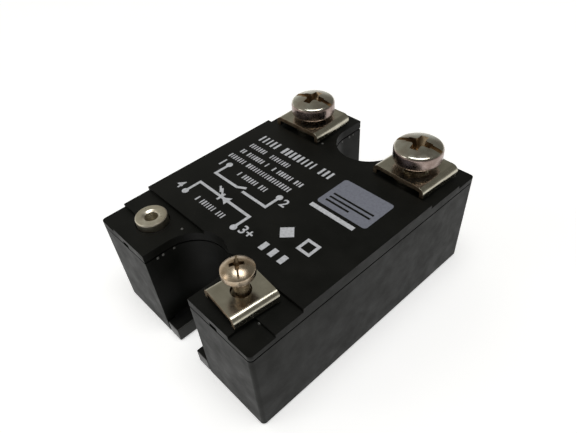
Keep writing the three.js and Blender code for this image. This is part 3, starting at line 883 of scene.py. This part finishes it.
PRINT_ROWS = [  # from x, to x, y, height of the blocks, pitch
    (-18.3, 2.8, 9.0, 2.2, 1.2),
    (-18.6, -5.4, 5.7, 1.3, 0.72),
    (-18.6, 0.7, 3.05, 1.3, 0.72),
    (-18.6, 0.7, 0.45, 1.3, 0.72),
    (-12.0, -3.4, -2.6, 1.3, 0.72),
    (-12.2, -3.7, -13.1, 1.3, 0.72),
]


def stroke(points, width=STROKE):
    """A line of even width through points that turn by right angles or less, as an outline."""
    path = [Vector(p) for p in points]
    left, right = [], []
    for i, point in enumerate(path):
        before = (point - path[i - 1]).normalized() if i else (path[1] - point).normalized()
        after = (path[i + 1] - point).normalized() if i < len(path) - 1 else before
        across = (before + after).normalized()
        side = Vector((-across.y, across.x)) * (width / 2 / max(0.3, across.dot(before)))
        left.append(point + side)
        right.append(point - side)
    return [tuple(p) for p in right + left[::-1]]


def mark(points, low=INK_LOW, high=INK_HIGH, material=ink):
    """One printed shape, a thin plate that starts just inside the plateau."""
    return prism("mark", points, low, high, material)


def circuit_diagram():
    """The output contact between 1 and 2, and the input's light-emitting diode between 4 and 3."""
    marks = [
        mark(stroke([(-15.6, -2.2), (-15.6, -5.75), (-8.7, -5.75), (-6.9, -4.75)])),
        mark(stroke([(-6.8, -5.95), (0.05, -5.95), (0.05, -2.4)])),
        mark(stroke([(-15.6, -13.3), (-15.6, -9.65), (-0.1, -9.8), (-0.1, -13.3)])),
        mark([(-8.3, -9.75), (-6.5, -10.9), (-6.5, -8.6)]),
        mark(stroke([(-8.7, -10.8), (-8.7, -8.7)], 0.5)),
        mark(stroke([(-8.9, -9.3), (-10.5, -7.9)], 0.42)),
        mark(stroke([(-9.9, -8.9), (-11.4, -7.7)], 0.42)),
    ]
    dots = [(-15.6, -2.1), (0.05, -2.3), (-15.6, -13.4), (-0.1, -13.6)]
    marks += [mark(arc(x, y, 0.72, 0, 350, 35)) for x, y in dots]
    whole = combine(marks[0], marks[1:], "UNION")
    whole.name = "circuit_diagram"
    return whole


def terminal_numbers():
    """The numbers beside the four terminals."""
    whole = None
    for text, x, y in (("1", -17.5, -2.45), ("2", 2.0, -2.95), ("3+", 2.7, -12.9), ("4", -18.0, -12.85)):
        curve = bpy.data.curves.new("number", "FONT")
        curve.body = text
        curve.size = 3.0
        curve.align_x = "CENTER"
        curve.align_y = "CENTER"
        curve.offset = 0.05
        curve.extrude = (INK_HIGH - INK_LOW) / 2
        curve.materials.append(ink)
        made = bpy.data.objects.new("number", curve)
        bpy.context.scene.collection.objects.link(made)
        bpy.context.view_layer.update()
        mesh = bpy.data.meshes.new_from_object(made)
        bpy.data.objects.remove(made)
        mesh.transform(Matrix.Translation((x, y, INK_MIDDLE)))
        shape = bmesh.new()
        if whole:
            shape.from_mesh(whole.data)
        shape.from_mesh(mesh)
        bmesh.ops.remove_doubles(shape, verts=shape.verts, dist=0.0005)
        bmesh.ops.recalc_face_normals(shape, faces=shape.faces)
        if whole:
            bpy.data.objects.remove(whole)
        whole = mesh_object("terminal_numbers", shape, ink)
    return whole


def rating_panel():
    """A plain grey printed panel with three lines left open in it."""
    panel = mark([
        *arc(17.0, 9.6, 0.7, 0, 90, 8), *arc(6.4, 9.6, 0.7, 90, 180, 8),
        *arc(6.4, 2.6, 0.7, 180, 270, 8), *arc(17.0, 2.6, 0.7, 270, 360, 8),
    ], material=panel_ink)
    lines = ((5.6, 16.6), (4.5, 16.6), (3.4, 12.5))
    combine(panel, [mark(stroke([(6.8, y), (x1, y)], 0.5), **OPEN) for y, x1 in lines])
    panel.name = "rating_panel"
    return panel


def plain_marks():
    """A bar under the panel, and a square, a diamond and three bars near the corner."""
    hollow = mark(stroke([(12.0, -8.0), (15.2, -8.0)], 3.2))
    combine(hollow, [mark(stroke([(12.6, -8.0), (14.6, -8.0)], 2.0), **OPEN)])
    bar = mark(stroke([(5.6, 0.6), (16.2, 0.6)], 1.0))
    diamond = mark([(8.1, -9.7), (9.9, -7.9), (8.1, -6.1), (6.3, -7.9)])
    bars = [mark(stroke([(x, -14.0), (x, -12.0)], 1.1)) for x in (7.6, 10.0, 12.4)]
    whole = combine(hollow, [bar, diamond, *bars], "UNION")
    whole.name = "plain_marks"
    return whole


for make_print in (circuit_diagram, terminal_numbers, rating_panel, plain_marks):
    finish_piece(make_print(), "root", "white_ink")
row_tree = blocks_tree()
for number, row in enumerate(PRINT_ROWS, 1):
    finish_piece(row_of_blocks(row_tree, number, *row), "root", "white_ink")


# ---- the electronics inside keep their CAD shape and take a finish each
copper = drawn_copper()
package = moulded_package("package_epoxy", (0.010, 0.010, 0.010), (0.026, 0.025, 0.024), (0.35, 0.5))
dipped = moulded_package("dipped_capacitor", (0.32, 0.09, 0.02), (0.52, 0.19, 0.05), (0.18, 0.3), 0.8)
INSIDE = {
    copper: ("substrate_lower_copper", "load_pad_1", "load_pad_2", "gate_pad_1", "gate_pad_2", "chip_clip_1",
             "chip_clip_2", "load_busbar_1", "load_busbar_2"),
    sintered_alumina(): ("substrate_ceramic",),
    circuit_board(): ("control_board",),
    tinned: ("control_pin_3", "control_pin_4", "gate_pin_1", "gate_pin_2"),
    package: ("optical_coupler", "input_transistor", "input_diode"),
    dipped: ("filter_capacitor",),
    potting_compound(): ("potting",),
    silicon_die(): ("thyristor_chip_1", "thyristor_chip_2"),
}
for node in ("input_resistor", "gate_resistor_1", "gate_resistor_2"):
    low, high = frame_box(node)
    INSIDE[banded_resistor(f"bands_of_{node}", (low.x + high.x) / 2)] = (node,)
for material, nodes in INSIDE.items():
    for node in nodes:
        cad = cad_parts[node]
        cad.data.materials.clear()
        cad.data.materials.append(material)


# ---- floor and light
def add_floor():
    """A pale floor, just under the relay, that glows a little so its shadow stays soft."""
    shape = bmesh.new()
    size = 1.6  # half its width, in metres
    corners = [(-size, -size), (size, -size), (size, size), (-size, size)]
    shape.faces.new([shape.verts.new((x, y, cad_low.z - 0.0002)) for x, y in corners])
    f = Finish("pale_floor", roughness=0.8, specular_ior_level=0.2, emission_strength=0.42)
    f.color(f.ramp(f.noise(40), (0.3, (0.84, 0.84, 0.84)), (0.7, (0.87, 0.87, 0.865))))
    f.shader.inputs["Emission Color"].default_value = (1, 1, 1, 1)
    mesh_object("floor", shape, f.material)


def add_light(name, direction, distance, size, power):
    """A rectangular light, (long side, short side), whose long side lies roughly across the view."""
    data = bpy.data.lights.new(name, "AREA")
    data.shape = "RECTANGLE"
    data.size, data.size_y = size
    data.energy = power
    light = bpy.data.objects.new(name, data)
    towards = Vector(direction).normalized()
    across = Vector((math.sin(AZIMUTH), math.cos(AZIMUTH), 0))
    across = (across - towards * across.dot(towards)).normalized()
    light.location = AIM + towards * distance
    light.rotation_euler = Matrix((across, towards.cross(across), towards)).transposed().to_euler()
    bpy.context.scene.collection.objects.link(light)


def add_world():
    """A studio that is bright low down and dim higher up, and a little brighter on the control end's left."""
    world = bpy.data.worlds.new("studio")
    world.use_nodes = True
    tree = world.node_tree
    background = tree.nodes["Background"]
    direction = tree.nodes.new("ShaderNodeTexCoord").outputs["Generated"]
    split = tree.nodes.new("ShaderNodeSeparateXYZ")
    tree.links.new(direction, split.inputs[0])
    height = tree.nodes.new("ShaderNodeValToRGB")
    fill_ramp(height, ((0.0, (0.80, 0.80, 0.78)), (0.14, (0.55, 0.55, 0.53)), (0.34, (0.27, 0.265, 0.24)),
                       (1.0, (0.25, 0.245, 0.22))))
    tree.links.new(split.outputs["Z"], height.inputs["Fac"])
    tree.links.new(height.outputs[0], background.inputs["Color"])
    across = tree.nodes.new("ShaderNodeVectorMath")
    across.operation = "DOT_PRODUCT"
    across.inputs[1].default_value = (-1, -0.3, 0)
    tree.links.new(direction, across.inputs[0])
    strength = tree.nodes.new("ShaderNodeMapRange")
    for label, value in (("From Min", 0), ("From Max", 0.8), ("To Min", 0.6), ("To Max", 1.4)):
        strength.inputs[label].default_value = value
    tree.links.new(across.outputs["Value"], strength.inputs["Value"])
    tree.links.new(strength.outputs[0], background.inputs["Strength"])
    bpy.context.scene.world = world


add_floor()
add_world()
add_light("softbox", (0.12, -0.02, 0.98), 1.2, (0.95, 0.5), 8)
add_light("front_fill", (-0.43, -0.70, 0.54), 1.1, (0.4, 0.3), 0.8)
bpy.context.scene.view_settings.view_transform = "Standard"
